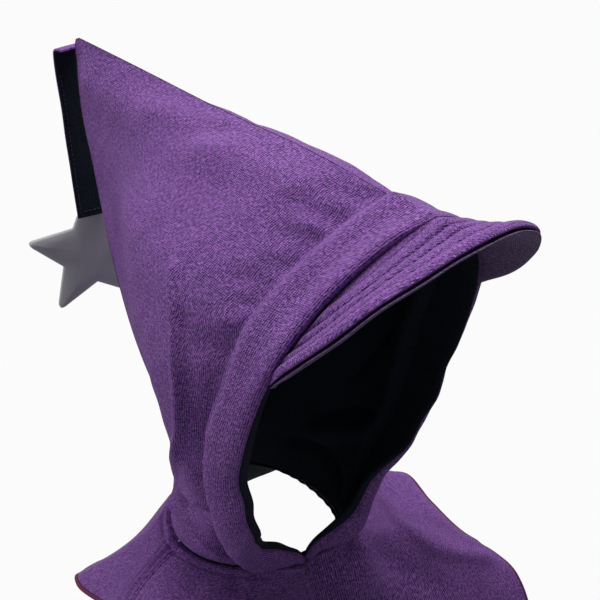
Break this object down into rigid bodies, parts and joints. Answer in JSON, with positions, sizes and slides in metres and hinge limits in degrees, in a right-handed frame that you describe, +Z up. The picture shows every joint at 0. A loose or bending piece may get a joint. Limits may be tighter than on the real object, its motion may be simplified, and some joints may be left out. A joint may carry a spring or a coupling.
{
  "type": "rain hood",
  "caption": "Rain hood worn over the head, with a long pointed tail, a small peak, a padded face band, a short shoulder cape and a padded star hanging from the tail on a flat strap.",
  "frame": {"origin": "the seat on the crown of the wearer's head, just under the ridge seam", "axes": "+Z up, the wearer's face looks along -Y, the wearer's right is -X; the tail's tip points along +Y"},
  "size_m": [0.2278, 0.3438, 0.3719],
  "materials": {
    "purple_cloth": "matt melange softshell, bonded inside to dark navy fleece",
    "navy_fleece": "matt dark navy fleece",
    "maroon_edging": "narrow bound hem, matt",
    "grey_reflective": "smooth grey reflective cloth over padding"
  },
  "bodies": {
    "root": {"hood_panel_right": "purple_cloth", "hood_panel_left": "purple_cloth", "face_band": "purple_cloth", "peak_top": "purple_cloth", "peak_underside": "purple_cloth", "cape_front_right": "purple_cloth", "cape_front_left": "purple_cloth", "cape_back": "purple_cloth", "hem_edging": "maroon_edging", "tail_strap": "navy_fleece", "tail_star": "grey_reflective"}
  },
  "joints": []
}
